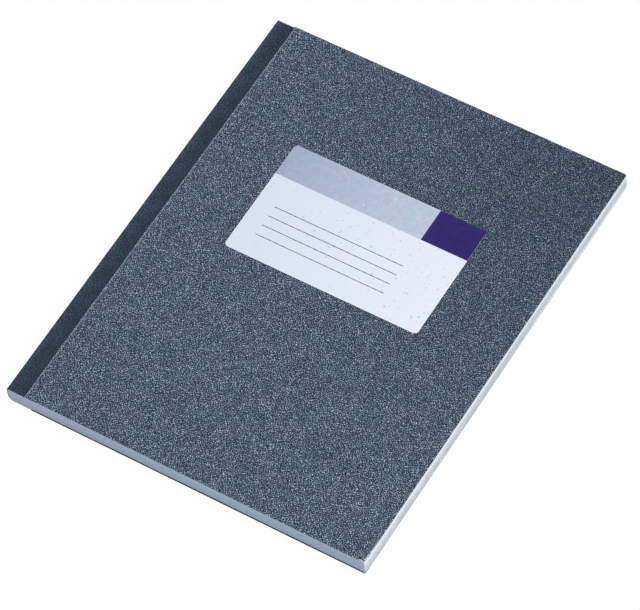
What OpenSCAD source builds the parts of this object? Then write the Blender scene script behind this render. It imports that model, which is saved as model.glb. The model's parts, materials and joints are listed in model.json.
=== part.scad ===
// Composition notebook: sewn page block, flush-cut boards, cloth spine, grained paper sides and a label.
// It lies on its back cover. +X runs from the spine to the fore edge, +Y from tail to head, +Z up.
// The origin is under the middle of the cover. Lengths are millimetres.

/* [Cover] */
// Width of the cover, from spine to fore edge
cover_w = 165; // [120:1:230]
// Height of the cover, from tail to head
cover_h = 205; // [140:1:320]
// Radius of the trimmed corners at the fore edge
fore_corner_r = 0.4; // [0.2:0.1:8]
// Thickness of each board
board_t = 1.1; // [0.6:0.1:3]

/* [Paper sides] */
// Thickness of the grained paper on each board
side_t = 0.3; // [0.15:0.05:0.6]
// Width of spine cloth left bare on the front
front_strip_w = 8.4; // [6:0.1:30]
// Width of spine cloth left bare on the back
back_strip_w = 10.8; // [6:0.1:30]
// How far the paper sides lap over the cloth
side_lap = 4; // [1:0.5:10]

/* [Spine cloth] */
// Thickness of the cloth
cloth_t = 0.2; // [0.1:0.05:0.4]
// Outer radius where the cloth turns onto the front board
front_bend_r = 0.7; // [0.6:0.1:1.5]
// Outer radius where the cloth turns onto the back board
back_bend_r = 2.6; // [0.6:0.1:3]
// How far the cloth stops short of the head
cloth_head_gap = 0.45; // [0:0.05:2]

/* [Page block] */
// Number of folded sections
sections = 5; // [3:1:10]
// Thickness of one section of leaves
section_t = 1.07; // [0.8:0.01:2]
// Air between the block and each cover
page_gap = 0.025; // [0.01:0.005:0.1]
// Thickness of the lining glued to the folds
lining_t = 0.2; // [0.1:0.05:0.5]
// Thickness of the leaf pasted inside each board
pastedown_t = 0.1; // [0.06:0.01:0.3]

/* [Sewing] */
// Number of sewing stations along the spine
stations = 6; // [3:1:12]
// Distance from the first and last station to the ends of the spine
station_margin = 16; // [8:1:40]
// Radius of the thread
thread_r = 0.25; // [0.15:0.05:0.3]
// Air round the thread in its saw cut
thread_gap = 0.05; // [0.02:0.01:0.1]

/* [Label] */
// Width of the label
label_w = 89.9; // [60:0.1:110]
// Height of the label
label_h = 55.5; // [40:0.1:90]
// Distance from the spine to the label
label_from_spine = 39.75; // [16:0.1:45]
// Distance from the tail to the label
label_from_tail = 98.9; // [20:0.1:110]
// Radius of the label's corners
label_r = 1.8; // [0.5:0.1:5]
// Radius of the label's corner beside the coloured field
label_field_r = 0.4; // [0.2:0.1:2]
// Thickness of the label
label_t = 0.1; // [0.06:0.01:0.2]
// Height of the printed band along the label's top
band_h = 15.9; // [8:0.1:24]
// Width of the coloured field at the end of the band
field_w = 21.5; // [8:0.1:30]
// Thickness of the ink
ink_t = 0.02; // [0.01:0.01:0.05]

/* [Writing lines] */
// Number of writing lines
line_count = 4; // [1:1:6]
// Distance between writing lines
line_pitch = 4.93; // [3:0.01:6]
// Length of the writing lines
line_w = 60.1; // [20:0.1:80]
// Thickness of a writing line
line_t = 0.3; // [0.1:0.05:0.6]
// Distance from the label's left edge to the lines
line_from_left = 8.5; // [2:0.1:20]
// Distance from the band to the first line
line_from_band = 14.3; // [6:0.1:16]

/* [Hidden] */
$fn = 64;

spine_x = -cover_w / 2;
fore_x = cover_w / 2;
tail_y = -cover_h / 2;
head_y = cover_h / 2;

// How far a section runs past what trims it
over = 1;

// Levels from the underside up
back_board_z = side_t;
back_paste_z = back_board_z + board_t;
block_z = back_paste_z + pastedown_t + page_gap;
block_t = sections * section_t;
front_paste_z = block_z + block_t + page_gap;
front_board_z = front_paste_z + pastedown_t;
front_side_z = front_board_z + board_t;
top_z = front_side_z + side_t;

// Each cover turns about the middle of the bend in the cloth
bend_share = 1 - cos(45);
front_hinge_x = spine_x + front_bend_r * bend_share;
front_hinge_z = front_side_z - front_bend_r * bend_share;
back_hinge_x = spine_x + back_bend_r * bend_share;
back_hinge_z = back_board_z + back_bend_r * bend_share;

label_x = spine_x + label_from_spine;
label_y = tail_y + label_from_tail;
label_top_y = label_y + label_h;
band_y = label_top_y - band_h;
field_x = label_x + label_w - field_w;

cloth_color = [0.19, 0.24, 0.31];
side_color = [0.31, 0.37, 0.43];
board_color = [0.88, 0.9, 0.92];
page_color = [0.82, 0.85, 0.88];
paper_color = [0.88, 0.9, 0.93];
lining_color = [0.78, 0.75, 0.68];
thread_color = [0.93, 0.92, 0.88];
label_color = [0.86, 0.9, 0.95];
band_color = [0.68, 0.73, 0.84];
field_color = [0.22, 0.15, 0.43];
line_color = [0.25, 0.27, 0.3];

// A section of the book in X and Z, run along Y between two places
module along_spine(from_y = tail_y - over, to_y = head_y + over) {
    translate([0, to_y, 0]) rotate([90, 0, 0]) linear_extrude(to_y - from_y) children();
}

// A band of the section between two heights, from one X to another
module band(from_x, to_x, from_z, to_z) {
    translate([from_x, from_z]) square([to_x - from_x, to_z - from_z]);
}

// A turn of the cloth about one corner of the spine, drawn in from its outer face
module bend(r, center_z, inset) {
    if (r > inset) translate([spine_x + r, center_z]) circle(r - inset);
}

// The section of all that the cloth wraps, drawn in from the cloth's outer face
module wrapped(inset) {
    left = spine_x + inset;
    top = front_side_z - inset;
    bottom = back_board_z + inset;
    front_bend_z = front_side_z - front_bend_r;
    back_bend_z = back_board_z + back_bend_r;
    middle_x = spine_x + back_bend_r;
    bend(front_bend_r, front_bend_z, inset);
    bend(back_bend_r, back_bend_z, inset);
    band(spine_x + front_bend_r, fore_x + over, back_bend_z, top);
    band(middle_x, fore_x + over, bottom, top);
    band(left, middle_x, back_bend_z, front_bend_z);
}

// The section that the cloth itself fills
module cloth_section() {
    middle_z = top_z / 2;
    difference() {
        wrapped(0);
        wrapped(cloth_t);
        band(spine_x + front_strip_w + side_lap, fore_x + 2 * over, middle_z, top_z);
        band(spine_x + back_strip_w + side_lap, fore_x + 2 * over, 0, middle_z);
        band(fore_x, fore_x + 2 * over, 0, top_z);
    }
}

// A flat outline with a radius for each corner: tail left, tail right, head right, head left
module outline(x, y, w, h, radii) {
    difference() {
        translate([x, y]) square([w, h]);
        for (i = [0:3]) {
            right = i == 1 || i == 2;
            head = i > 1;
            corner_waste(right ? x + w : x, head ? y + h : y, right ? -1 : 1, head ? -1 : 1, radii[i]);
        }
    }
}

// What a rounded corner loses: (x, y) is the corner, and the ways point into the outline
module corner_waste(x, y, way_x, way_y, r) {
    if (r > 0) difference() {
        translate([x, y]) square(2 * r, center = true);
        translate([x + way_x * r, y + way_y * r]) circle(r);
    }
}

// A section run along the spine and trimmed, as the guillotine trims it, between two heights
module trimmed(from_z, to_z) {
    intersection() {
        along_spine() children();
        translate([0, 0, from_z]) linear_extrude(to_z - from_z)
            outline(spine_x, tail_y, cover_w, cover_h, [0, fore_corner_r, fore_corner_r, 0]);
    }
}

// The folded backs of the sections, with their leaves run out to the fore edge
module folded_sections() {
    fold_r = section_t / 2;
    fold_x = spine_x + cloth_t + lining_t + fold_r;
    for (i = [0:sections - 1]) {
        translate([fold_x, block_z + (i + 0.5) * section_t]) circle(fold_r);
    }
    band(fold_x, fore_x + over, block_z, block_z + block_t);
}

// Puts what it is given at each sewing station, on the line of the thread
module at_stations() {
    thread_x = spine_x + cloth_t + lining_t + thread_gap + thread_r;
    step = (cover_h - 2 * station_margin) / (stations - 1);
    for (i = [0:stations - 1]) {
        translate([thread_x, tail_y + station_margin + i * step, block_z]) children();
    }
}

// All the leaves, closed, with a saw cut across the folds at each station
module page_block() {
    cut_r = thread_r + thread_gap;
    color(page_color) difference() {
        trimmed(block_z, block_z + block_t) intersection() {
            folded_sections();
            wrapped(cloth_t + lining_t);
        }
        at_stations() translate([-cut_r - over, -cut_r, -over])
            cube([2 * cut_r + over, 2 * cut_r, block_t + 2 * over]);
    }
}

// The strip glued over the folds and the sewing
module spine_lining() {
    color(lining_color) trimmed(block_z, block_z + block_t) difference() {
        wrapped(cloth_t);
        wrapped(cloth_t + lining_t);
        band(spine_x + back_bend_r, fore_x + 2 * over, 0, top_z);
    }
}

// The thread that runs from section to section in each saw cut
module sewing_thread() {
    color(thread_color) intersection() {
        at_stations() cylinder(r = thread_r, h = block_t);
        along_spine() wrapped(cloth_t + lining_t);
    }
}

// One strip of cloth over the back board's edge, the lining and the front board's edge
module spine_cloth() {
    color(cloth_color) along_spine(tail_y, head_y - cloth_head_gap) cloth_section();
}

// A board, pressed in where the cloth lies on it
module board(from_x, from_z) {
    color(board_color) trimmed(from_z, from_z + board_t) difference() {
        intersection() {
            wrapped(0);
            band(from_x, fore_x + over, from_z, from_z + board_t);
        }
        cloth_section();
    }
}

module front_board() {
    board(front_hinge_x, front_board_z);
}

module back_board() {
    board(back_hinge_x, back_board_z);
}

// The grained paper on the outside of a board, over the edge of the cloth
module side_paper(from_x, from_z) {
    color(side_color) trimmed(from_z, from_z + side_t) band(from_x, fore_x + over, from_z, from_z + side_t);
}

module front_side_paper() {
    side_paper(spine_x + front_strip_w, front_side_z);
}

module back_side_paper() {
    side_paper(spine_x + back_strip_w, 0);
}

// The leaf pasted to the inside of a board
module pastedown(from_x, from_z) {
    color(paper_color) trimmed(from_z, from_z + pastedown_t)
        band(from_x, fore_x + over, from_z, from_z + pastedown_t);
}

module front_pastedown() {
    pastedown(front_hinge_x, front_paste_z);
}

module back_pastedown() {
    pastedown(back_hinge_x, back_paste_z);
}

// The label's outline
module label_outline() {
    outline(label_x, label_y, label_w, label_h, [label_r, label_r, label_field_r, label_r]);
}

// A layer of ink on the label, which stops at the label's edge
module ink(tint) {
    color(tint) translate([0, 0, top_z + label_t]) linear_extrude(ink_t) intersection() {
        children();
        label_outline();
    }
}

module label() {
    color(label_color) translate([0, 0, top_z]) linear_extrude(label_t) label_outline();
}

module label_band() {
    ink(band_color) translate([label_x - over, band_y]) square([label_w - field_w + over, band_h + over]);
}

module label_field() {
    ink(field_color) translate([field_x, band_y]) square([field_w + over, band_h + over]);
}

module label_lines() {
    ink(line_color) for (i = [0:line_count - 1]) {
        translate([label_x + line_from_left, band_y - line_from_band - i * line_pitch - line_t / 2])
            square([line_w, line_t]);
    }
}

page_block();
spine_lining();
sewing_thread();
spine_cloth();
front_board();
front_side_paper();
front_pastedown();
back_board();
back_side_paper();
back_pastedown();
label();
label_band();
label_field();
label_lines();
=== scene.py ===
"""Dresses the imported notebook: sewn leaves, spine cloth, endpaper folds, papers, label, inks and stage."""

import json
import math

import bmesh
import bpy
from mathutils import Matrix, Vector, noise


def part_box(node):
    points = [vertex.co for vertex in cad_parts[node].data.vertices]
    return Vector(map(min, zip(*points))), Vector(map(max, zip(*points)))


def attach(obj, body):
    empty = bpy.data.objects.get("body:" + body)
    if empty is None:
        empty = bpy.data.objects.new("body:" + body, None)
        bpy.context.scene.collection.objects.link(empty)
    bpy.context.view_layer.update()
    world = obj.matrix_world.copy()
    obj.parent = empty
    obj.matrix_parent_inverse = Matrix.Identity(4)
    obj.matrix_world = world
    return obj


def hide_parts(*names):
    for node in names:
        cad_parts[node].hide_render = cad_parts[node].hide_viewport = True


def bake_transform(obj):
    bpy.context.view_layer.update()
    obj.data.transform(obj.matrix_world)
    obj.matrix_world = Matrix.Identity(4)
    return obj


bl_info = {
    "name": "Cloth-spined notebook",
    "version": (1, 0, 0),
    "blender": (4, 5, 0),
    "location": "3D View > Sidebar > Notebook",
    "description": "Leaves, cloth, papers, label and stage for a sewn notebook",
    "category": "Object",
}

MM = 0.001

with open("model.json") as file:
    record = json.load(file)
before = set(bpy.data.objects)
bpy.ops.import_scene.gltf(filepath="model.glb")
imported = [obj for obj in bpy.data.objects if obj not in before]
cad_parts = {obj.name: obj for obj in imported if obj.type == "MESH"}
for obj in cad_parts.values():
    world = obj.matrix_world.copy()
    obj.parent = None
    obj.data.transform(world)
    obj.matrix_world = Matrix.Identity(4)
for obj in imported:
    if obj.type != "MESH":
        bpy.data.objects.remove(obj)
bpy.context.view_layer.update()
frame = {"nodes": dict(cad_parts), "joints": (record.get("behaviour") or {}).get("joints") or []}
NODES = frame["nodes"]
HINGES = {joint["name"]: Vector(joint["pos_m"]) for joint in frame["joints"]}
FRONT_HINGE = HINGES["front_cover_hinge"]
BACK_HINGE = HINGES["back_cover_hinge"]
BLOCK_LOW, BLOCK_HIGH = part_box("page_block")
BLOCK_THICK = BLOCK_HIGH.z - BLOCK_LOW.z
BLOCK_MIDDLE = (BLOCK_HIGH.z + BLOCK_LOW.z) / 2
CLOTH_LOW, CLOTH_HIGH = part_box("spine_cloth")
LABEL_LOW, LABEL_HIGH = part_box("label")
BAND_LOW, BAND_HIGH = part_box("label_band")
FRONT_SIDE_LOW, FRONT_SIDE_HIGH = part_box("front_side_paper")
BACK_SIDE_LOW, BACK_SIDE_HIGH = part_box("back_side_paper")
FACING = 0.5  # a face looks along an axis where more than this much of its normal lies there


# Wires and graphs: node trees written as Python


class Wire:
    """What comes out of a socket, so that maths on it reads as plain Python."""

    def __init__(self, graph, socket):
        self.graph = graph
        self.socket = socket

    def maths(self, operation, *values):
        return self.graph.node("ShaderNodeMath", {"operation": operation}, dict(enumerate(values)))

    def __add__(self, other):
        return self.maths("ADD", self, other)

    def __sub__(self, other):
        return self.maths("SUBTRACT", self, other)

    def __rsub__(self, other):
        return self.maths("SUBTRACT", other, self)

    def __mul__(self, other):
        return self.maths("MULTIPLY", self, other)

    def __truediv__(self, other):
        return self.maths("DIVIDE", self, other)

    def __pow__(self, other):
        return self.maths("POWER", self, other)

    def __abs__(self):
        return self.maths("ABSOLUTE", self)

    def __gt__(self, other):
        return self.maths("GREATER_THAN", self, other)

    def __lt__(self, other):
        return self.maths("LESS_THAN", self, other)

    __radd__ = __add__

    def least(self, other):
        return self.maths("MINIMUM", self, other)

    def most(self, other):
        return self.maths("MAXIMUM", self, other)

    def rise(self, low, high):
        """Goes smoothly from 0 at low to 1 at high."""
        sockets = {"Value": self, "From Min": low, "From Max": high}
        return self.graph.node("ShaderNodeMapRange", {"interpolation_type": "SMOOTHSTEP"}, sockets)

    def wave(self, pitch):
        """A cosine from -1 to 1 that repeats at the pitch, highest where the value is a whole pitch."""
        return self.maths("COSINE", self * (math.tau / pitch))

    def gap(self, pitch):
        """How far the value is from the nearest whole pitch."""
        return self.maths("PINGPONG", self, pitch / 2)


class Graph:
    """Adds nodes to a tree, whose values come back as wires."""

    def __init__(self, tree):
        self.tree = tree
        tree.nodes.clear()

    def node(self, kind, settings=None, sockets=None, output=0):
        """Adds a node: first its settings, then the values or wires of its sockets."""
        made = self.tree.nodes.new(kind)
        for name, value in (settings or {}).items():
            if name == "stops":
                self.set_stops(made.color_ramp, value)
            else:
                setattr(made, name, value)
        for name, value in (sockets or {}).items():
            socket = made.inputs[name]
            if isinstance(value, Wire):
                self.tree.links.new(value.socket, socket)
            elif socket.type == "RGBA":
                socket.default_value = (*value, 1)
            else:
                socket.default_value = value
        return Wire(self, made.outputs[output]) if made.outputs else None

    @staticmethod
    def set_stops(ramp, stops):
        while len(ramp.elements) < len(stops):
            ramp.elements.new(1)
        for element, (place, color) in zip(ramp.elements, stops):
            element.position = place
            element.color = (*color, 1)

    def join(self, x, y, z):
        return self.node("ShaderNodeCombineXYZ", sockets={0: x, 1: y, 2: z})

    def split(self, vector):
        return [self.node("ShaderNodeSeparateXYZ", sockets={0: vector}, output=i) for i in range(3)]

    def mix(self, factor, first, second, blend="MIX"):
        settings = {"data_type": "RGBA", "blend_type": blend}
        return self.node("ShaderNodeMix", settings, {0: factor, 6: first, 7: second}, 2)


class Finish(Graph):
    """A material under construction."""

    def __init__(self, name):
        self.material = bpy.data.materials.new(name)
        self.material.use_nodes = True
        super().__init__(self.material.node_tree)

    def place(self):
        """Where a point is on the piece, in millimetres."""
        return self.scaled(self.node("ShaderNodeTexCoord", output="Object"), 1 / MM)

    def facing(self):
        """Which way the face looks, as its shares along X, Y and Z."""
        return self.split(self.node("ShaderNodeTexCoord", output="Normal"))

    def facing_up(self):
        """1 on faces that lie flat, up or down, and 0 on upright edges."""
        return abs(self.facing()[2]) > FACING

    def length(self, x, y):
        return (x * x + y * y) ** 0.5

    def scaled(self, vector, size):
        return self.node("ShaderNodeVectorMath", {"operation": "SCALE"}, {0: vector, "Scale": size})

    def moved(self, vector, by):
        return self.node("ShaderNodeVectorMath", {"operation": "ADD"}, {0: vector, 1: by})

    def stretched(self, place, x, y, z):
        return self.node("ShaderNodeVectorMath", {"operation": "MULTIPLY"}, {0: place, 1: (x, y, z)})

    def grain(self, place, size, detail=2.0, roughness=0.5, distortion=0.0, colored=False):
        """Cloudy noise whose clouds are about the size given, in millimetres."""
        sockets = {"Vector": place, "Scale": 1 / size, "Detail": detail}
        sockets |= {"Roughness": roughness, "Distortion": distortion}
        return self.node("ShaderNodeTexNoise", {"noise_dimensions": "3D"}, sockets, int(colored))

    def cells(self, place, size, output="Distance"):
        sockets = {"Vector": place, "Scale": 1 / size}
        return self.node("ShaderNodeTexVoronoi", {"feature": "F1"}, sockets, output)

    def tinted(self, color, tint):
        """A colour times another, part by part."""
        return self.mix(1.0, color, tint, "MULTIPLY")

    def ramp(self, factor, *stops):
        return self.node("ShaderNodeValToRGB", {"stops": stops}, {0: factor})

    def relief(self, height, depth, below=None):
        """A surface raised by the height, from 0 to 1, times a depth in metres."""
        sockets = {"Height": height, "Distance": depth, "Strength": 1.0}
        if below is not None:
            sockets["Normal"] = below
        return self.node("ShaderNodeBump", sockets=sockets)

    def finish(self, color, roughness, specular, normal=None):
        """Ends the material, whose roughness and specular level are the same all over."""
        sockets = {"Base Color": color, "Roughness": roughness, "Specular IOR Level": specular}
        if normal is not None:
            sockets["Normal"] = normal
        shader = self.node("ShaderNodeBsdfPrincipled", sockets=sockets)
        self.node("ShaderNodeOutputMaterial", sockets={"Surface": shader})
        return self.material


# Settings


class LeafSettings(bpy.types.PropertyGroup):
    """The sewn leaves and their ruling."""

    sections: bpy.props.IntProperty(
        name="Sections", description="Number of folded sections", default=5, min=1
    )
    sheets: bpy.props.IntProperty(
        name="Sheets", description="Folded sheets in a section", default=7, min=1
    )
    air: bpy.props.FloatProperty(
        name="Air", description="Air between two leaves", default=0.004 * MM, unit="LENGTH", precision=6
    )
    unevenness: bpy.props.FloatProperty(
        name="Unevenness", description="How far a leaf may stand off the trimmed edge",
        default=0.02 * MM, unit="LENGTH",
    )
    corner: bpy.props.FloatProperty(
        name="Corner", description="Radius of the trimmed corners", default=0.4 * MM, unit="LENGTH"
    )
    rounding: bpy.props.FloatProperty(
        name="Rounding", description="Radius in which the folds turn in at the back",
        default=2.2 * MM, unit="LENGTH",
    )
    stations: bpy.props.IntProperty(
        name="Stations", description="Sewing stations along the spine", default=6, min=2
    )
    margin: bpy.props.FloatProperty(
        name="Margin", description="From the first station to the tail", default=16 * MM, unit="LENGTH"
    )
    thread: bpy.props.FloatProperty(
        name="Thread", description="Radius of the sewing thread", default=0.25 * MM, unit="LENGTH"
    )
    cut_gap: bpy.props.FloatProperty(
        name="Cut gap", description="Air round the thread in its saw cut", default=0.05 * MM, unit="LENGTH"
    )
    paper: bpy.props.FloatVectorProperty(
        name="Paper", description="Colour of the leaves", default=(0.715, 0.790, 0.872), subtype="COLOR"
    )
    rule_ink: bpy.props.FloatVectorProperty(
        name="Ruling", description="Colour of the feint ruling",
        default=(0.34, 0.44, 0.60), subtype="COLOR",
    )
    rule_pitch: bpy.props.FloatProperty(
        name="Rule pitch", description="Distance between ruled lines", default=8 * MM, unit="LENGTH"
    )


class ClothSettings(bpy.types.PropertyGroup):
    """The cloth over the spine."""

    thickness: bpy.props.FloatProperty(
        name="Thickness", description="Thickness of the cloth", default=0.2 * MM, unit="LENGTH"
    )
    front_bend: bpy.props.FloatProperty(
        name="Front bend", description="Outer radius at the front board", default=0.7 * MM, unit="LENGTH"
    )
    back_bend: bpy.props.FloatProperty(
        name="Back bend", description="Outer radius at the back board", default=2.6 * MM, unit="LENGTH"
    )
    lap: bpy.props.FloatProperty(
        name="Lap", description="How far the cloth runs under the side papers",
        default=4 * MM, unit="LENGTH",
    )
    hinge_width: bpy.props.FloatProperty(
        name="Hinge width", description="Width of cloth that turns when a cover opens",
        default=0.6 * MM, unit="LENGTH",
    )
    thread: bpy.props.FloatProperty(
        name="Thread", description="Pitch of the woven threads", default=0.42 * MM, unit="LENGTH"
    )
    color: bpy.props.FloatVectorProperty(
        name="Colour", description="Colour of the cloth", default=(0.0160, 0.0265, 0.043), subtype="COLOR"
    )


class SideSettings(bpy.types.PropertyGroup):
    """The grained paper on the covers."""

    grain: bpy.props.FloatProperty(
        name="Grain", description="Size of the embossed grain",
        default=0.48 * MM, unit="LENGTH", precision=5,
    )
    corner: bpy.props.FloatProperty(
        name="Corner", description="Radius of the worn corners",
        default=0.9 * MM, unit="LENGTH", precision=5,
    )
    relief: bpy.props.FloatProperty(
        name="Relief", description="Depth of the embossed grain",
        default=0.05 * MM, unit="LENGTH", precision=5,
    )
    unevenness: bpy.props.FloatProperty(
        name="Unevenness", description="How far the cut edge strays",
        default=0.03 * MM, unit="LENGTH", precision=5,
    )
    bites: bpy.props.FloatProperty(
        name="Bites", description="Depth of the worn bites by the tail corner",
        default=1.6 * MM, unit="LENGTH", precision=5,
    )
    front_lip: bpy.props.FloatProperty(
        name="Front lip", description="How far the front paper rolls over the fore edge",
        default=0.06 * MM, unit="LENGTH", precision=5,
    )
    # the back lip is a dark roll of paper standing in for the shadow along the tail edge: a painted shadow
    back_shadow_lip: bpy.props.FloatProperty(
        name="Back lip", description="How far the back paper rolls over the tail edge",
        default=0.7 * MM, unit="LENGTH", precision=5,
    )
    # the pit colour is the paper's dark core, and on the grained face also painted shade in the pits
    pit: bpy.props.FloatVectorProperty(
        name="Pit", description="Colour in the pits", default=(0.004, 0.018, 0.042), subtype="COLOR"
    )
    body: bpy.props.FloatVectorProperty(
        name="Body", description="Colour between pits and ridges",
        default=(0.064, 0.092, 0.134), subtype="COLOR",
    )
    # the ridge colour is partly worn paper and partly a painted highlight on the raised grain
    ridge: bpy.props.FloatVectorProperty(
        name="Ridge", description="Colour on the rubbed ridges",
        default=(0.555, 0.64, 0.765), subtype="COLOR",
    )


class LabelSettings(bpy.types.PropertyGroup):
    """The label's paper and inks."""

    paper: bpy.props.FloatVectorProperty(
        name="Paper", description="Colour of the label at its left end",
        default=(0.81, 0.835, 0.905), subtype="COLOR",
    )
    # the paper's lighter right end is painted light
    paper_end: bpy.props.FloatVectorProperty(
        name="Paper end", description="Colour of the label at its right end",
        default=(0.90, 0.892, 0.945), subtype="COLOR",
    )
    band: bpy.props.FloatVectorProperty(
        name="Band", description="Ink of the band at its left end",
        default=(0.373, 0.42, 0.53), subtype="COLOR",
    )
    # the band's lighter right end is partly print and partly painted light
    band_end: bpy.props.FloatVectorProperty(
        name="Band end", description="Ink of the band at its right end",
        default=(0.555, 0.60, 0.70), subtype="COLOR",
    )
    field: bpy.props.FloatVectorProperty(
        name="Field", description="Ink of the field", default=(0.031, 0.017, 0.124), subtype="COLOR"
    )
    lines: bpy.props.FloatVectorProperty(
        name="Lines", description="Ink of the writing lines",
        default=(0.009, 0.011, 0.020), subtype="COLOR",
    )


class StageSettings(bpy.types.PropertyGroup):
    """The camera, the sky, the lamp and the floor."""

    azimuth: bpy.props.FloatProperty(
        name="Azimuth", description="Where the camera stands round the book",
        default=math.radians(38.0222), unit="ROTATION",
    )
    elevation: bpy.props.FloatProperty(
        name="Elevation", description="How high the camera looks from",
        default=math.radians(56.521), unit="ROTATION",
    )
    roll: bpy.props.FloatProperty(
        name="Roll", description="Turn of the camera about its own axis",
        default=math.radians(-7.9905), unit="ROTATION",
    )
    distance: bpy.props.FloatProperty(
        name="Distance", description="From the camera to the point it looks at",
        default=1877.06 * MM, unit="LENGTH",
    )
    target: bpy.props.FloatVectorProperty(
        name="Target", description="What the camera looks at",
        default=(6.349 * MM, -9.837 * MM, 8.4 * MM), unit="LENGTH",
    )
    lens: bpy.props.FloatProperty(name="Lens", description="Focal length in millimetres", default=266.284)
    sky: bpy.props.FloatVectorProperty(
        name="Sky", description="Light from all round", default=(0.43, 0.50, 0.58), subtype="COLOR"
    )
    floor: bpy.props.FloatVectorProperty(
        name="Floor", description="Colour of the floor as the object sees it",
        default=(0.5, 0.5, 0.5), subtype="COLOR",
    )
    key: bpy.props.FloatProperty(name="Key", description="Light of the lamp at the fore edge", default=0.64)


# Meshes


def new_piece(name, points, faces, material=None):
    """A piece from points in metres, its faces turned outwards."""
    mesh = bpy.data.meshes.new(name)
    mesh.from_pydata([tuple(point) for point in points], [], faces)
    outward = bmesh.new()
    outward.from_mesh(mesh)
    bmesh.ops.recalc_face_normals(outward, faces=outward.faces)
    outward.to_mesh(mesh)
    outward.free()
    piece = bpy.data.objects.new(name, mesh)
    bpy.context.scene.collection.objects.link(piece)
    if material:
        mesh.materials.append(material)
    return piece


def dress(node, material):
    """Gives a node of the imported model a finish."""
    mesh = NODES[node].data
    mesh.materials.clear()
    mesh.materials.append(material)


def arc(center, radius, start, end, count):
    """Points round a centre in two axes, from one angle to another in degrees."""
    turns = [math.radians(start + (end - start) * i / count) for i in range(count + 1)]
    return [(center[0] + radius * math.cos(turn), center[1] + radius * math.sin(turn)) for turn in turns]


def bend_across(piece, side):
    """Bakes a piece's place into its mesh, the same for the front and the back."""
    if side == "front":
        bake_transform(piece)
    else:
        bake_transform(piece)


def bar_faces(first, count):
    """The faces of a bar whose points come in rings of four, closed at both ends."""
    faces = []
    for j in range(count - 1):
        a, b = first + 4 * j, first + 4 * j + 4
        faces += [(a + k, a + (k + 1) % 4, b + (k + 1) % 4, b + k) for k in range(4)]
    last = first + 4 * (count - 1)
    return faces + [tuple(range(first, first + 4)), tuple(range(last, last + 4))]


# Leaves and sewing


def leaf_outline(fold_x, offset, corner):
    """The rings of a folded leaf: how far along X, how high from the fold's middle, and its half length."""
    arc_steps, corner_steps, past_fold = 8, 6, (10, 3, 1)
    fore_x, half = BLOCK_HIGH.x, BLOCK_HIGH.y
    straight = [(fold_x + run * MM, half) for run in past_fold]
    round_off = []
    for i in range(corner_steps + 1):
        turn = math.pi / 2 * (1 - i / corner_steps)
        round_off.append((fore_x - corner + corner * math.sin(turn), half - corner + corner * math.cos(turn)))
    sides = round_off + straight
    top = [(x, offset, length) for x, length in sides]
    fold = [(x, z, half) for x, z in arc((fold_x, 0), offset, 90, 270, arc_steps)]
    bottom = [(x, -offset, length) for x, length in reversed(sides)]
    return top + fold + bottom


def section_mesh(settings):
    """The folded sheets of one section, one inside the other, about the height 0."""
    section = BLOCK_THICK / settings.sections
    pitch = section / 2 / settings.sheets
    fold_x = BLOCK_LOW.x + section / 2
    points, faces = [], []
    for i in range(settings.sheets):
        outer = section / 2 - i * pitch - settings.air / 2
        inner = section / 2 - (i + 1) * pitch + settings.air / 2
        first = len(points)
        outlines = [leaf_outline(fold_x, offset, settings.corner) for offset in (outer, inner)]
        for (x0, z0, half0), (x1, z1, half1) in zip(*outlines):
            points += [(x0, -half0, z0), (x0, half0, z0), (x1, half1, z1), (x1, -half1, z1)]
        faces += bar_faces(first, (len(points) - first) // 4)
    return points, faces


def new_tree(name, values):
    """A Geometry Nodes tree with inputs for a geometry and each value, and the graph that fills it."""
    tree = bpy.data.node_groups.new(name, "GeometryNodeTree")
    tree.interface.new_socket("Geometry", in_out="INPUT", socket_type="NodeSocketGeometry")
    for title, value in values.items():
        kind = "Int" if isinstance(value, int) else "Float"
        tree.interface.new_socket(title, in_out="INPUT", socket_type=f"NodeSocket{kind}")
    tree.interface.new_socket("Geometry", in_out="OUTPUT", socket_type="NodeSocketGeometry")
    graph = Graph(tree)
    entry = tree.nodes.new("NodeGroupInput")
    return tree, graph, {title: Wire(graph, entry.outputs[title]) for title in ["Geometry", *values]}


def grow(piece, tree, values):
    """Runs a tree on a piece and keeps the plain mesh that comes out."""
    modifier = piece.modifiers.new(tree.name, "NODES")
    modifier.node_group = tree
    for item in tree.interface.items_tree:
        if item.in_out == "INPUT" and item.name in values:
            modifier[item.identifier] = values[item.name]
    grown = piece.evaluated_get(bpy.context.evaluated_depsgraph_get())
    mesh = bpy.data.meshes.new_from_object(grown)
    piece.modifiers.remove(modifier)
    mesh.name = piece.name
    piece.data = mesh


def end_tree(graph, geometry, material):
    """Ends a tree in plain geometry of one material."""
    plain = graph.node("GeometryNodeRealizeInstances", sockets={"Geometry": geometry})
    finished = graph.node("GeometryNodeSetMaterial", sockets={"Geometry": plain, "Material": material})
    graph.node("NodeGroupOutput", sockets={"Geometry": finished})


def pushed(graph, geometry, x, y):
    """Moves each point of a geometry along X and Y."""
    sockets = {"Geometry": geometry, "Offset": graph.join(x, y, 0.0)}
    return graph.node("GeometryNodeSetPosition", sockets=sockets)


def in_line(graph, geometry, count, start, step):
    """Repeats a geometry from a start, one step apart."""
    sockets = {"Count": count, "Start Location": start, "Offset": step}
    line = graph.node("GeometryNodeMeshLine", sockets=sockets)
    placed = graph.node("GeometryNodeInstanceOnPoints", sockets={"Points": line, "Instance": geometry})
    return graph.node("GeometryNodeRealizeInstances", sockets={"Geometry": placed})


def turned_in(graph, geometry, wires):
    """Pushes the folds in, round the curve that the cloth takes at the back board."""
    reach = 8 * MM
    radius = wires["Rounding"]
    x, _, z = graph.split(graph.node("GeometryNodeInputPosition"))
    drop = (wires["Rounding Start"] - z).most(0.0)
    shift = radius - (radius * radius - drop * drop) ** 0.5
    near_fold = 1 - x.rise(BLOCK_LOW.x, BLOCK_LOW.x + reach)
    return pushed(graph, geometry, shift * near_fold, 0.0)


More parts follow.
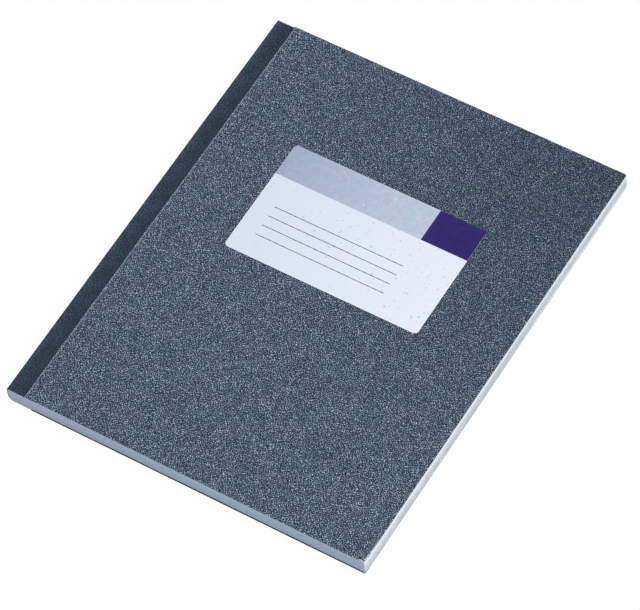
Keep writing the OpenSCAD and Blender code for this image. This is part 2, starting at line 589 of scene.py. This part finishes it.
def at_stations(graph, geometry, wires, x, z):
    """Puts a geometry at each sewing station."""
    step = (BLOCK_HIGH.y * 2 - wires["Margin"] * 2) / (wires["Stations"] - 1)
    start = graph.join(x, wires["Margin"] - BLOCK_HIGH.y, z)
    return in_line(graph, geometry, wires["Stations"], start, graph.join(0.0, step, 0.0))


def leaves_tree(material, values):
    """Stacks the sections, turns their folds in, sets the leaves a little uneven and saws the stations."""
    tree, graph, wires = new_tree("stacked sections", values)
    start = graph.join(0.0, 0.0, wires["Bottom"] + wires["Section"] * 0.5)
    step = graph.join(0.0, 0.0, wires["Section"])
    leaves = in_line(graph, wires["Geometry"], wires["Sections"], start, step)
    leaves = turned_in(graph, leaves, wires)

    island = graph.node("GeometryNodeInputMeshIsland", output="Island Index")
    x, y, _ = graph.split(graph.node("GeometryNodeInputPosition"))
    away = []
    for seed in (3, 11):
        sockets = {2: -1.0, 3: 1.0, "ID": island, "Seed": seed}
        away.append(graph.node("FunctionNodeRandomValue", {"data_type": "FLOAT"}, sockets, 1))
    held = 20 * MM
    past_fold = x.rise(BLOCK_LOW.x + held, BLOCK_HIGH.x)
    off_x = away[0] * past_fold * wires["Unevenness"]
    off_y = away[1] * (y / BLOCK_HIGH.y) * wires["Unevenness"]
    leaves = pushed(graph, leaves, off_x, off_y)

    past = 2 * MM
    size = graph.join(wires["Cut"] * 4, wires["Cut"] * 2, BLOCK_THICK + past)
    saw = graph.node("GeometryNodeMeshCube", sockets={"Size": size})
    saws = at_stations(graph, saw, wires, wires["Cut X"] - wires["Cut"], BLOCK_MIDDLE)
    settings = {"operation": "DIFFERENCE", "solver": "EXACT"}
    leaves = graph.node("GeometryNodeMeshBoolean", settings, {"Mesh 1": leaves, "Mesh 2": saws})
    end_tree(graph, leaves, material)
    return tree


def thread_tree(material, values):
    """A two-ply thread through the sections at each station."""
    tree, graph, wires = new_tree("sewing through the stations", values)
    half = wires["Radius"] * 0.5
    sockets = {"Resolution": 12, "Rotations": wires["Turns"], "Start Radius": half, "End Radius": half}
    ply = graph.node("GeometryNodeCurveSpiral", sockets=sockets | {"Height": wires["Length"]})
    section = graph.node("GeometryNodeCurvePrimitiveCircle", sockets={"Resolution": 8, "Radius": half})
    sockets = {"Curve": ply, "Profile Curve": section, "Fill Caps": True}
    ply = graph.node("GeometryNodeCurveToMesh", sockets=sockets)
    other = graph.node("GeometryNodeTransform", sockets={"Geometry": ply, "Rotation": (0, 0, math.pi)})
    both = graph.tree.nodes.new("GeometryNodeJoinGeometry")
    for wire in (ply, other):
        graph.tree.links.new(wire.socket, both.inputs[0])
    threads = at_stations(graph, Wire(graph, both.outputs[0]), wires, wires["Thread X"], wires["Bottom"])
    end_tree(graph, turned_in(graph, threads, wires), material)
    return tree


def fore_edge(finish, place, color):
    """A trimmed edge's colour, which at the fore edge is greyer and mottled, with painted light: lighter
    towards the top, a painted glow low down towards the head, painted shade towards the head, white by the
    front board partly as the board's own white and partly as painted light, and darker just beside the side
    papers towards the tail.
    """
    fore = finish.facing()[0] > FACING
    _, y, z = finish.split(place)
    top = BLOCK_HIGH.z / MM
    to_head = y.rise(-25, 35)
    mottle = finish.grain(finish.stretched(place, 1, 0.4, 1), 2.6, detail=1)
    grey = finish.ramp(mottle, (0.42, (0.84, 0.835, 0.775)), (0.58, (1.03, 0.945, 0.87)))
    # painted light: the fore edge is lighter towards the top, less so towards the head; from here on worn
    # holds the greyer mottle together with painted light and shade
    paler = z.rise(3.0, 6.8) * (0.4 - to_head * 0.3)
    worn = finish.mix(paler, finish.tinted(color, grey), (0.95, 0.96, 0.97))
    # painted shade: the fore edge darkens towards the head
    head_shade = finish.mix(y.rise(-70, 20), (1, 1, 1), (0.84, 0.84, 0.86))
    # painted light: a glow low on the fore edge, towards the head
    low_glow = (1 - z.rise(0.3, 3.2)) * y.rise(-30, 60) * 0.75
    worn = finish.mix(low_glow, finish.tinted(worn, head_shade), (1, 1, 1))
    # the front board's cut edge is white, and the top leaves under it are painted white as painted light;
    # both darken towards the head as painted shade
    bright = finish.mix(to_head, (1, 1, 1), (0.905, 0.935, 0.97))
    wander = finish.grain(finish.stretched(place, 1, 0.05, 0), 1.0, detail=1) * 0.6 - 0.2
    top_band = (z + wander).rise(top - 0.8, top)
    # darker just beside the side papers, towards the tail
    to_paper = (z - BACK_SIDE_HIGH.z / MM).least(FRONT_SIDE_LOW.z / MM - z)
    beside_papers = (1 - to_paper.rise(0.05, 0.25)) * (1 - to_head) * 0.9
    edge = finish.mix(beside_papers, finish.mix(top_band, worn, bright), (0.05, 0.075, 0.11))
    return finish.mix(fore, color, edge)


def page_paper(settings):
    """Pale writing paper: feint ruling on the pages, and fine streaks of leaves along the trimmed edges."""
    finish = Finish("page paper")
    place = finish.place()
    _, y, z = finish.split(place)
    flat = finish.facing_up()

    streaks = finish.grain(finish.stretched(place, 0.02, 0.02, 1), 0.09, detail=3)
    bands = finish.grain(finish.stretched(place, 0.01, 0.01, 1), 0.8, detail=1)
    patches = finish.grain(finish.stretched(place, 1, 1, 2), 9, detail=2)
    edge = finish.ramp(
        streaks * 0.5 + bands * 0.3 + patches * 0.2,
        (0.30, [0.86 * part for part in settings.paper]),
        (0.50, settings.paper),
        (0.70, [min(1, 1.06 * part) for part in settings.paper]),
    )
    fibre = finish.grain(place, 0.35, detail=3)
    cloud = finish.grain(place, 14, detail=2)
    page = finish.mix((fibre * 0.6 + cloud * 0.4).rise(0.3, 0.7), settings.paper, (0.80, 0.83, 0.86))
    pitch, first_line, blank_head = settings.rule_pitch / MM, 4, 82
    from_line = (y + pitch / 2 - first_line).gap(pitch)
    wobble = finish.grain(place, 1.5, detail=1) * 0.05
    line = 1 - (from_line + wobble).rise(0.09, 0.17)
    ruled = line * (1 - y.rise(blank_head, blank_head + 0.2)) * 0.75
    page = finish.mix(ruled, page, settings.rule_ink)
    color = finish.mix(flat, fore_edge(finish, place, edge), page)
    height = finish.mix(flat, streaks, fibre)
    off = (z - BLOCK_MIDDLE / MM) / (BLOCK_THICK / 2 / MM)
    rounding = finish.relief(1 - off * off, 0.35 * MM)
    return finish.finish(color, 0.75, 0.2, finish.relief(height, 0.02 * MM, rounding))


def linen_thread():
    """Waxed linen thread."""
    finish = Finish("linen thread")
    place = finish.place()
    fuzz = finish.grain(finish.stretched(place, 1, 1, 0.4), 0.08, detail=3)
    color = finish.ramp(fuzz, (0.3, (0.58, 0.54, 0.45)), (0.7, (0.84, 0.81, 0.73)))
    return finish.finish(color, 0.6, 0.3, finish.relief(fuzz, 0.02 * MM))


def gauze():
    """Open lining cloth, stiff with glue."""
    finish = Finish("lining gauze")
    place = finish.place()
    _, y, z = finish.split(place)
    pitch = 0.6
    weave = y.wave(pitch).most(z.wave(pitch))
    glue = finish.grain(place, 3, detail=3)
    color = finish.mix(weave.rise(-0.2, 0.8), (0.42, 0.36, 0.24), (0.66, 0.62, 0.52))
    color = finish.mix(glue.rise(0.35, 0.75) * 0.5, color, (0.50, 0.42, 0.27))
    return finish.finish(color, 0.6, 0.3, finish.relief(weave, 0.04 * MM))


class NOTEBOOK_OT_leaves(bpy.types.Operator):
    """Make the leaves, folded in sections and sawn for sewing, and the thread at each station"""

    bl_idname = "notebook.leaves"
    bl_label = "Leaves and sewing"

    def execute(self, context):
        settings = context.scene.notebook_leaves
        cloth = context.scene.notebook_cloth
        cut = settings.thread + settings.cut_gap
        thread_x = BLOCK_LOW.x + cut
        shared = {
            "Bottom": BLOCK_LOW.z,
            "Rounding": settings.rounding,
            "Rounding Start": BACK_SIDE_HIGH.z + cloth.back_bend,
            "Stations": settings.stations,
            "Margin": settings.margin,
        }
        leaves = new_piece("leaves", *section_mesh(settings))
        values = shared | {
            "Sections": settings.sections,
            "Section": BLOCK_THICK / settings.sections,
            "Unevenness": settings.unevenness,
            "Cut X": thread_x,
            "Cut": cut,
        }
        grow(leaves, leaves_tree(page_paper(settings), values), values)
        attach(leaves, "block")
        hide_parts("page_block")

        thread = new_piece("sewing", [(0, 0, 0)], [])
        values = shared | {
            "Radius": settings.thread,
            "Length": BLOCK_THICK,
            "Thread X": thread_x,
            "Turns": 5.0,
        }
        grow(thread, thread_tree(linen_thread(), values), values)
        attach(thread, "block")
        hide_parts("sewing_thread")

        dress("spine_lining", gauze())
        return {"FINISHED"}


# Spine cloth


def woven(settings):
    """Dyed book cloth in a close plain weave."""
    finish = Finish("spine cloth")
    length = finish.node("ShaderNodeUVMap", {"uv_map": "weave"})
    along, across, _ = finish.split(length)
    drift = finish.grain(length, 2.5, detail=2) * 0.25
    along, across = along + drift, across + drift
    pitch = settings.thread / MM
    over = along.wave(2 * pitch) * across.wave(2 * pitch)
    threads = along.wave(pitch) * 0.25 + across.wave(pitch) * 0.25 + over * 0.25 + 0.5
    slub = finish.grain(length, 0.5, detail=1)
    cloud = finish.grain(length, 6, detail=3)
    dark = [0.1 * part for part in settings.color]
    light = [4.2 * part for part in settings.color]
    shade = threads * 0.2 + slub * 0.65 + cloud * 0.15
    color = finish.ramp(shade, (0.40, dark), (0.5, settings.color), (0.62, light))
    x, _, _ = finish.split(finish.place())
    spine = CLOTH_LOW.x / MM
    # painted highlight along the spine's rounded edge, and painted shade darkening towards the side paper
    lightened = finish.mix(x.rise(spine + 1, spine + 3), (1.35, 1.30, 1.24), (1, 1, 1))
    shaded = finish.mix(x.rise(spine + 2, spine + 8.5), (1, 1, 1), (0.76, 0.78, 0.82))
    color = finish.tinted(finish.tinted(color, lightened), shaded)
    height = threads * 0.7 + slub * 0.3
    return finish.finish(color, 0.62, 0.2, finish.relief(height, 0.05 * MM))


def cloth_half(name, path, inward, thickness, up, material):
    """Half of the cloth along a path in X and Z, with its inner face one thickness inward."""
    steps = 60
    tail, head = CLOTH_LOW.y, CLOTH_HIGH.y
    points, faces, lengths = [], [], [0.0]
    for (x0, z0), (x1, z1) in zip(path, path[1:]):
        lengths.append(lengths[-1] + math.hypot(x1 - x0, z1 - z0))
    count = len(path)
    for j in range(steps + 1):
        y = tail + (head - tail) * j / steps
        points += [(x, y, z) for x, z in path]
        points += [(x + nx * thickness, y, z + nz * thickness) for (x, z), (nx, nz) in zip(path, inward)]
    ring = 2 * count
    order = list(range(count)) + list(range(2 * count - 1, count - 1, -1))
    for j in range(steps):
        for a, b in zip(order, order[1:] + order[:1]):
            faces.append((j * ring + a, j * ring + b, (j + 1) * ring + b, (j + 1) * ring + a))
    for j in (0, steps):
        for i in range(count - 1):
            faces.append(tuple(j * ring + k for k in (i, i + 1, count + i + 1, count + i)))
    piece = new_piece(name, points, faces, material)
    layer = piece.data.uv_layers.new(name="weave")
    for loop in piece.data.loops:
        point = piece.data.vertices[loop.vertex_index].co
        run = lengths[loop.vertex_index % ring % count] * up
        layer.data[loop.index].uv = (run / MM, point.y / MM)
    return piece


def cloth_path(corner_x, corner_z, radius, middle_z, end_x):
    """The outer face of half the cloth, up the spine from its middle, round the bend and along the board."""
    spine_steps, turn_steps, board_steps = 6, 28, 8
    up = 1 if corner_z > middle_z else -1
    center = (corner_x + radius, corner_z - up * radius)
    spine = [(corner_x, middle_z + (center[1] - middle_z) * i / spine_steps) for i in range(spine_steps)]
    turn = arc(center, radius, 180, 180 - 90 * up, turn_steps)
    run = (end_x - center[0]) / board_steps
    board = [(center[0] + run * i, corner_z) for i in range(1, board_steps + 1)]
    inward = [(1, 0)] * len(spine)
    inward += [((center[0] - x) / radius, (center[1] - z) / radius) for x, z in turn]
    inward += [(0, -up)] * len(board)
    return spine + turn + board, inward


class NOTEBOOK_OT_cloth(bpy.types.Operator):
    """Wrap the cloth round the spine, in two halves"""

    bl_idname = "notebook.cloth"
    bl_label = "Spine cloth"

    def execute(self, context):
        settings = context.scene.notebook_cloth
        material = woven(settings)
        middle = (CLOTH_LOW.z + CLOTH_HIGH.z) / 2
        # the level of the outer face, its bend, where the paper begins, the hinge, and which way is up
        ends = {
            "front": (CLOTH_HIGH.z, settings.front_bend, FRONT_SIDE_LOW.x, FRONT_HINGE, 1),
            "back": (CLOTH_LOW.z, settings.back_bend, BACK_SIDE_LOW.x, BACK_HINGE, -1),
        }
        for side, (level, radius, bare_to, hinge, up) in ends.items():
            path, inward = cloth_path(CLOTH_LOW.x, level, radius, middle, bare_to + settings.lap)
            piece = cloth_half(f"spine_cloth_{side}", path, inward, settings.thickness, up, material)
            bend_across(piece, side)
            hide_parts("spine_cloth")
        return {"FINISHED"}


# Endpapers


def endpaper():
    """Smooth pale endpaper, a little cockled by its glue."""
    finish = Finish("endpaper")
    place = finish.place()
    fibre = finish.grain(place, 0.4, detail=3)
    cockle = finish.grain(finish.stretched(place, 1, 0.35, 1), 16, detail=2)
    color = finish.mix((fibre * 0.5 + cockle * 0.5).rise(0.3, 0.7), (0.70, 0.735, 0.77), (0.79, 0.82, 0.85))
    height = fibre * 0.1 + cockle * 0.9
    return finish.finish(color, 0.7, 0.3, finish.relief(height, 0.25 * MM))


def fold_strip(name, x_cover, x_block, z_low, z_high, material):
    """The fold between a pasted leaf and the block, flat in its gap while the book is closed."""
    steps = 24
    tail, head = BLOCK_LOW.y, BLOCK_HIGH.y
    points = []
    for i in range(steps + 1):
        x = x_cover + (x_block - x_cover) * i / steps
        points += [(x, tail, z_low), (x, head, z_low), (x, head, z_high), (x, tail, z_high)]
    return new_piece(name, points, bar_faces(0, steps + 1), material)


class NOTEBOOK_OT_endpapers(bpy.types.Operator):
    """Finish the pasted leaves and fold them over to the block"""

    bl_idname = "notebook.endpapers"
    bl_label = "Endpapers"

    def execute(self, context):
        material = endpaper()
        clear = 0.004 * MM
        width = 0.5 * MM
        inset = 0.1 * MM
        for side, hinge in (("front", FRONT_HINGE), ("back", BACK_HINGE)):
            low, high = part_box(f"{side}_pastedown")
            gap = (BLOCK_HIGH.z, low.z) if side == "front" else (high.z, BLOCK_LOW.z)
            near = max(hinge.x, BLOCK_LOW.x) + inset
            strip = fold_strip(f"{side}_fold", near, near + width, gap[0] + clear, gap[1] - clear, material)
            bend_across(strip, side)
            dress(f"{side}_pastedown", material)
        return {"FINISHED"}


# Boards and side papers


def pulp_board():
    """Pale pulp board, in thin plies along its cut edges."""
    finish = Finish("pulp board")
    place = finish.place()
    flat = finish.facing_up()
    plies = finish.grain(finish.stretched(place, 0.08, 0.08, 1), 0.16, detail=3)
    fibre = finish.grain(place, 0.5, detail=4, roughness=0.6)
    edge = finish.ramp(plies * 0.6 + fibre * 0.4, (0.3, (0.68, 0.76, 0.84)), (0.55, (0.78, 0.84, 0.90)))
    face = finish.ramp(fibre, (0.3, (0.60, 0.61, 0.62)), (0.7, (0.78, 0.79, 0.80)))
    color = finish.mix(flat, fore_edge(finish, place, edge), face)
    normal = finish.relief(fibre * 0.5 + plies * 0.5, 0.03 * MM)
    return finish.finish(color, 0.8, 0.2, normal)


def grained_paper(name, settings, low, high, worn):
    """Dark blue paper embossed with a fine leather grain, pale where its ridges and its rims are worn. Its
    ridges also carry painted highlights and its pits painted shade; it has painted glints, a painted
    highlight along its spine-side edge, and painted shade towards the corner of the head and the fore edge.
    """
    finish = Finish(name)
    place = finish.place()
    x, y, _ = finish.split(place)
    low, high = low / MM, high / MM
    size = settings.grain / MM
    bend = finish.scaled(finish.grain(place, 0.6, detail=0.0, colored=True), size)
    flat = finish.stretched(place, 1, 1, 0)
    bent = finish.moved(flat, bend)
    dome = 1 - finish.cells(bent, size)
    usual, sharpening = 0.52, 0.3
    for across, along in ((size, 0), (-size, 0), (0, size), (0, -size)):
        beside = finish.cells(finish.moved(bent, (across, along, 0)), size)
        dome = dome + (beside - usual) * sharpening
    chance = finish.split(finish.cells(bent, size, output="Color"))[0]
    height = dome * 0.85 + chance * 0.15
    # the grain's own tone, with painted shade in the pits and painted highlights on the ridges
    body = finish.ramp(height, (0.30, settings.pit), (0.58, settings.body), (0.90, settings.ridge))
    glint = 1 - finish.cells(flat, 1.5) * 1.5
    body = finish.mix(glint.rise(0.72, 0.84) * 0.7, body, (0.72, 0.80, 0.90))
    tint = finish.grain(flat, 9, detail=1).rise(0.45, 0.7)
    body = finish.tinted(body, finish.mix(tint, (1.01, 0.99, 0.96), (0.94, 1.01, 0.95)))
    # painted shade: the paper darkens towards the corner of the head and the fore edge
    shade_to_fore_head = 1 - finish.length(x - high.x, y - high.y).rise(-60, 190)
    body = finish.mix(shade_to_fore_head, body, finish.tinted(body, (0.44, 0.49, 0.54)))

    # painted highlight: a pale line along the paper's edge over the cloth
    edge_highlight = 1 - abs(x - (low.x + 0.5)).rise(0.05, 0.35)
    body = finish.mix(edge_highlight * 0.25, body, settings.ridge)
    near_rim = 1 - (high.x - x).least(high.y - abs(y)).rise(0.0, 0.8)
    to_tail_corner = finish.length(x - high.x, y - low.y)
    near_corner = 1 - to_tail_corner.rise(3, 20)
    near_tip = 1 - to_tail_corner.rise(1.0, 4.0)
    specks = finish.grain(place, 0.55, detail=2)
    lightened = (specks + near_rim * 0.12 + near_rim * near_corner * 0.10 + near_tip * 0.18).rise(0.70, 0.80)
    body = finish.mix(lightened * worn, body, (0.72, 0.76, 0.80))
    return finish.finish(body, 0.5, 0.15, finish.relief(height, settings.relief))


def cut_edge(name, settings, lightened):
    """A side paper's matte cut edge, paler at tail and head by some share, and elsewhere towards the head."""
    finish = Finish(name)
    place = finish.place()
    fibre = finish.grain(place, 0.3, detail=2)
    short = abs(finish.facing()[1]) > FACING
    to_head = finish.split(place)[1].rise(-30, 60)
    color = finish.mix(fibre.rise(0.35, 0.65), settings.pit, settings.body)
    color = finish.mix(short * lightened, color, settings.ridge)
    color = finish.mix((1 - short) * to_head * 0.4, color, settings.ridge)
    return finish.finish(color, 0.9, 0.0)


def sheet_outline(low, high, corner):
    """Points round a sheet, 0.7 mm apart, each with its side: 0 tail, 1 fore edge, 2 head, 3 spine."""
    step = 0.7 * MM
    stops = [(low.x, low.y), (high.x - corner, low.y), (high.x, low.y + corner)]
    stops += [(high.x, high.y - corner), (high.x - corner, high.y), (low.x, high.y), (low.x, low.y)]
    corner_steps = 4
    points = []
    # the stop where each straight side starts
    for i, side in ((0, 0), (2, 1), (4, 2), (5, 3)):
        (x0, y0), (x1, y1) = stops[i], stops[i + 1]
        count = max(1, round(math.hypot(x1 - x0, y1 - y0) / step))
        points += [(x0 + (x1 - x0) * j / count, y0 + (y1 - y0) * j / count, side) for j in range(count)]
        if side < 2:
            turn = -90 if side == 0 else 0
            center = (high.x - corner, low.y + corner if side == 0 else high.y - corner)
            points += [(x, y, side) for x, y in arc(center, corner, turn, turn + 90, corner_steps)[:-1]]
    return points


def side_sheet(name, low, high, up, lip_side, lip, lip_out, settings, materials):
    """A cover's paper: cut a little unevenly, its rim crushed round, and one edge rolled over the board."""
    outer = high.z if up > 0 else low.z
    thickness = high.z - low.z
    worn_length, bite, stray_wave, roll_wave = 16 * MM, 1.3 * MM, 5 * MM, 20 * MM
    points, faces = [], []
    outline = sheet_outline(low, high, settings.corner)
    count = len(outline)
    for i, (x, y, side) in enumerate(outline):
        x0, y0, _ = outline[i - 1]
        x1, y1, _ = outline[(i + 1) % count]
        away = Vector((y1 - y0, x0 - x1)).normalized()
        stray = noise.noise(Vector((x, y, 0)) / stray_wave) * settings.unevenness
        near_tail = max(0.0, 1 - (y - low.y) / worn_length)
        if side == 1 and up > 0:
            stray -= max(0.0, noise.noise(Vector((x, y, 0)) / bite) - 0.1) * near_tail * settings.bites
        roll = lip * (1 + 0.3 * noise.noise(Vector((x, y, 1)) / roll_wave)) if side == lip_side else 0.01 * MM
        out = lip_out if side == lip_side else 0.02 * MM
        # each point of the rim: how far past the cut, and how far down from the outer face
        rim = [(-0.35 * MM, 0), (-0.1 * MM, 0), (-0.02 * MM, 0.03 * MM), (out, 0.12 * MM)]
        rim += [(out, thickness + roll), (0.012 * MM, thickness + roll), (0.012 * MM, thickness)]
        for run, drop in rim:
            spot = Vector((x, y)) + away * (run + stray)
            points.append((spot.x, spot.y, outer - up * drop))
    rings = len(rim)
    for i in range(count):
        a, b = i * rings, (i + 1) % count * rings
        faces += [(a + k, b + k, b + k + 1, a + k + 1) for k in range(rings - 1)]
    faces.append(tuple(i * rings for i in range(count)))
    faces.append(tuple(i * rings + rings - 1 for i in range(count)))
    sheet = new_piece(name, points, faces, materials[0])
    sheet.data.materials.append(materials[1])
    for face in sheet.data.polygons:
        face.material_index = int(abs(face.normal.z) < FACING)
    return sheet


class NOTEBOOK_OT_covers(bpy.types.Operator):
    """Finish the boards and the grained papers on them"""

    bl_idname = "notebook.covers"
    bl_label = "Boards and side papers"

    def execute(self, context):
        settings = context.scene.notebook_sides
        # which way is up, which side is rolled, how far, how far out, and the wear of the face and the edge
        rolled = {
            "front": (1, 1, settings.front_lip, 0.05 * MM, 0.8, 0.5),
            # the back paper's long roll over the tail edge is a painted shadow under the book
            "back": (-1, 0, settings.back_shadow_lip, 0.15 * MM, 0.2, 0.0),
        }
        board = pulp_board()
        for side, (up, lip_side, lip, out, worn, lightened) in rolled.items():
            low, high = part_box(f"{side}_side_paper")
            paper = grained_paper(f"grained {side} paper", settings, low, high, worn)
            edge = cut_edge(f"{side} cut edge", settings, lightened)
            sheet = side_sheet(f"{side}_sheet", low, high, up, lip_side, lip, out, settings, (paper, edge))
            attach(sheet, f"{side}_cover")
            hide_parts(f"{side}_side_paper")
            dress(f"{side}_board", board)
        return {"FINISHED"}


# Label


def flecked(finish, place, color, strength):
    """Scatters the small grey and green flecks of recycled paper over a colour."""
    x, _, _ = finish.split(place)
    dense = finish.grain(place, 22, detail=1).rise(0.3, 0.7) * 0.12 + x.rise(-10, 40) * 0.14
    grey, teal = (0.46, 0.52, 0.58), (0.58, 0.80, 0.84)
    sorts = ((2.4, 0.04, 0.60, grey), (3.4, 0.04, 0.80, teal), (1.7, 0.03, 0.50, grey))
    for size, share, radius, tint in sorts:
        shifted = finish.stretched(finish.moved(place, (size * 7, size * 3, 0)), 1, 1, 0)
        distance = finish.cells(shifted, size)
        chance, _, _ = finish.split(finish.cells(shifted, size, output="Color"))
        spread = finish.grain(place, 0.6, detail=1) * 0.9 - 0.45
        dot = 1 - (distance * size + spread).rise(radius - 0.45, radius)
        color = finish.mix(dot * (chance < share + dense) * (0.75 * strength), color, tint)
    return color


def label_finish(name, color_of, strength=1.0, mottle=0.4):
    """Label paper or an ink on it: the same fibres and flecks run through them all, at some strength."""
    finish = Finish(name)
    place = finish.place()
    fibre = finish.grain(finish.stretched(place, 1, 1, 0), 0.6, detail=3)
    x, y, _ = finish.split(place)
    low, high = LABEL_LOW / MM, LABEL_HIGH / MM
    inward = (x - low.x).least(high.x - x).least((y - low.y).least(high.y - y))
    color = color_of(finish, place)
    at_rim = (1 - inward.rise(0.15, 0.5)) * strength
    color = finish.mix(at_rim, color, finish.tinted(color, (1.06, 1.06, 1.04)))
    cloud = finish.grain(place, 5, detail=1).rise(0.35, 0.65)
    tint = finish.mix(cloud, (0.97, 1.01, 1.0), (1.02, 0.98, 1.01))
    color = finish.mix(mottle, color, finish.tinted(color, tint))
    color = finish.mix(fibre.rise(0.45, 0.85) * (0.35 * strength), color, (0.5, 0.56, 0.68))
    color = flecked(finish, place, color, strength)
    return finish.finish(color, 0.6, 0.1, finish.relief(fibre, 0.01 * MM))


class NOTEBOOK_OT_label(bpy.types.Operator):
    """Finish the label, its printed band and field and its writing lines"""

    bl_idname = "notebook.label"
    bl_label = "Label"

    def execute(self, context):
        settings = context.scene.notebook_label

        def paper(finish, place):
            # painted light: the label paper is lighter towards its right end
            fade = finish.split(place)[0].rise(LABEL_LOW.x / MM, LABEL_HIGH.x / MM)
            return finish.mix(fade, settings.paper, settings.paper_end)

        def band(finish, place):
            # the band is lighter towards its right end, partly as print and partly as painted light
            fade = finish.split(place)[0].rise(BAND_LOW.x / MM - 25, BAND_HIGH.x / MM)
            cloud = finish.grain(place, 2.2, detail=3, distortion=1.0).rise(0.35, 0.65)
            ink = finish.mix(fade, settings.band, settings.band_end)
            return finish.tinted(ink, finish.mix(cloud, (0.94, 0.955, 0.96), (1.05, 1.04, 1.03)))

        def field(finish, place):
            cloud = finish.grain(place, 4, detail=2)
            return finish.mix(cloud.rise(0.3, 0.7), settings.field, [1.2 * part for part in settings.field])

        def lines(finish, place):
            x, y, _ = finish.split(place)
            faint = 1 - (x + y * 0.2).wave(3.3).rise(-0.9, 0.9)
            return finish.mix(faint * 0.22, settings.lines, settings.paper)

        dress("label", label_finish("label paper", paper))
        dress("label_band", label_finish("band ink", band, mottle=1.0))
        dress("label_field", label_finish("field ink", field, strength=0.03))
        dress("label_lines", label_finish("line ink", lines, strength=0.0))
        return {"FINISHED"}


# Stage


def seen_white(graph):
    """1 for what the camera sees, directly, in gloss or through glass."""
    kinds = ("Camera", "Glossy", "Transmission")
    camera, glossy, through = [graph.node("ShaderNodeLightPath", output=f"Is {kind} Ray") for kind in kinds]
    return (camera + glossy + through).least(1.0)


def floor_finish(settings):
    """A white floor that keeps a faint shadow."""
    finish = Finish("white floor")
    seen = seen_white(finish)
    color = finish.mix(seen, settings.floor, (0.95, 0.95, 0.95))
    matte = finish.node("ShaderNodeBsdfDiffuse", sockets={"Color": color})
    glow = finish.node("ShaderNodeEmission", sockets={"Color": (1, 1, 1), "Strength": 1.0})
    both = finish.node("ShaderNodeMixShader", sockets={0: seen * 0.96, 1: matte, 2: glow})
    finish.node("ShaderNodeOutputMaterial", sockets={"Surface": both})
    return finish.material


def light_world(settings):
    """A pale sky that looks white to the camera."""
    world = bpy.data.worlds.new("pale room")
    world.use_nodes = True
    graph = Graph(world.node_tree)
    color = graph.mix(seen_white(graph), settings.sky, (1, 1, 1))
    sky = graph.node("ShaderNodeBackground", sockets={"Color": color, "Strength": 1.0})
    graph.node("ShaderNodeOutputWorld", sockets={"Surface": sky})
    bpy.context.scene.world = world


def add_lamp(name, place, size, level, color):
    """A square lamp that looks at the book. Its level is what it adds to a white face turned to it."""
    place = Vector(place)
    data = bpy.data.lights.new(name, "AREA")
    data.shape = "SQUARE"
    data.size = size
    data.color = color
    data.energy = level * (math.pi * place.length) ** 2
    lamp = bpy.data.objects.new(name, data)
    lamp.location = place
    lamp.rotation_euler = place.to_track_quat("Z", "Y").to_euler()
    bpy.context.scene.collection.objects.link(lamp)


def add_camera(settings):
    """The camera at the photograph's place."""
    data = bpy.data.cameras.new("camera")
    data.lens = settings.lens
    data.sensor_width = 36
    camera = bpy.data.objects.new("camera", data)
    azimuth, elevation = settings.azimuth, settings.elevation
    flat = math.cos(elevation)
    back = Vector((math.sin(azimuth) * flat, -math.cos(azimuth) * flat, math.sin(elevation)))
    turn = back.to_track_quat("Z", "Y").to_matrix().to_4x4() @ Matrix.Rotation(settings.roll, 4, "Z")
    camera.matrix_world = Matrix.Translation(Vector(settings.target) + back * settings.distance) @ turn
    bpy.context.scene.collection.objects.link(camera)
    bpy.context.scene.camera = camera


class NOTEBOOK_OT_stage(bpy.types.Operator):
    """Set the floor, the sky, the lamp and the camera"""

    bl_idname = "notebook.stage"
    bl_label = "Stage"

    def execute(self, context):
        settings = context.scene.notebook_stage
        half = 8.0
        below = -0.02 * MM
        corners = [(-half, -half, below), (half, -half, below), (half, half, below), (-half, half, below)]
        mesh = bpy.data.meshes.new("floor")
        mesh.from_pydata(corners, [], [(0, 1, 2, 3)])
        mesh.materials.append(floor_finish(settings))
        floor = bpy.data.objects.new("floor", mesh)
        context.scene.collection.objects.link(floor)
        light_world(settings)
        add_lamp("key lamp", (1.25, 0.40, 1.50), 0.9, settings.key, (1, 0.98, 0.94))
        add_camera(settings)
        context.scene.view_settings.view_transform = "Standard"
        return {"FINISHED"}


# Panel and registration


STEPS = (
    NOTEBOOK_OT_leaves,
    NOTEBOOK_OT_cloth,
    NOTEBOOK_OT_endpapers,
    NOTEBOOK_OT_covers,
    NOTEBOOK_OT_label,
    NOTEBOOK_OT_stage,
)
GROUPS = {
    "notebook_leaves": LeafSettings,
    "notebook_cloth": ClothSettings,
    "notebook_sides": SideSettings,
    "notebook_label": LabelSettings,
    "notebook_stage": StageSettings,
}


class NOTEBOOK_PT_panel(bpy.types.Panel):
    """The steps that dress the notebook"""

    bl_label = "Notebook"
    bl_space_type = "VIEW_3D"
    bl_region_type = "UI"
    bl_category = "Notebook"

    def draw(self, context):
        for step in STEPS:
            self.layout.operator(step.bl_idname)


def register():
    for group in GROUPS.values():
        bpy.utils.register_class(group)
    for name, group in GROUPS.items():
        setattr(bpy.types.Scene, name, bpy.props.PointerProperty(type=group))
    for step in STEPS:
        bpy.utils.register_class(step)
    bpy.utils.register_class(NOTEBOOK_PT_panel)


def unregister():
    bpy.utils.unregister_class(NOTEBOOK_PT_panel)
    for step in reversed(STEPS):
        bpy.utils.unregister_class(step)
    for name in GROUPS:
        delattr(bpy.types.Scene, name)
    for group in reversed(GROUPS.values()):
        bpy.utils.unregister_class(group)


def main():
    register()
    bpy.ops.notebook.leaves()
    bpy.ops.notebook.cloth()
    bpy.ops.notebook.endpapers()
    bpy.ops.notebook.covers()
    bpy.ops.notebook.label()
    bpy.ops.notebook.stage()


if __name__ == "__main__":
    main()
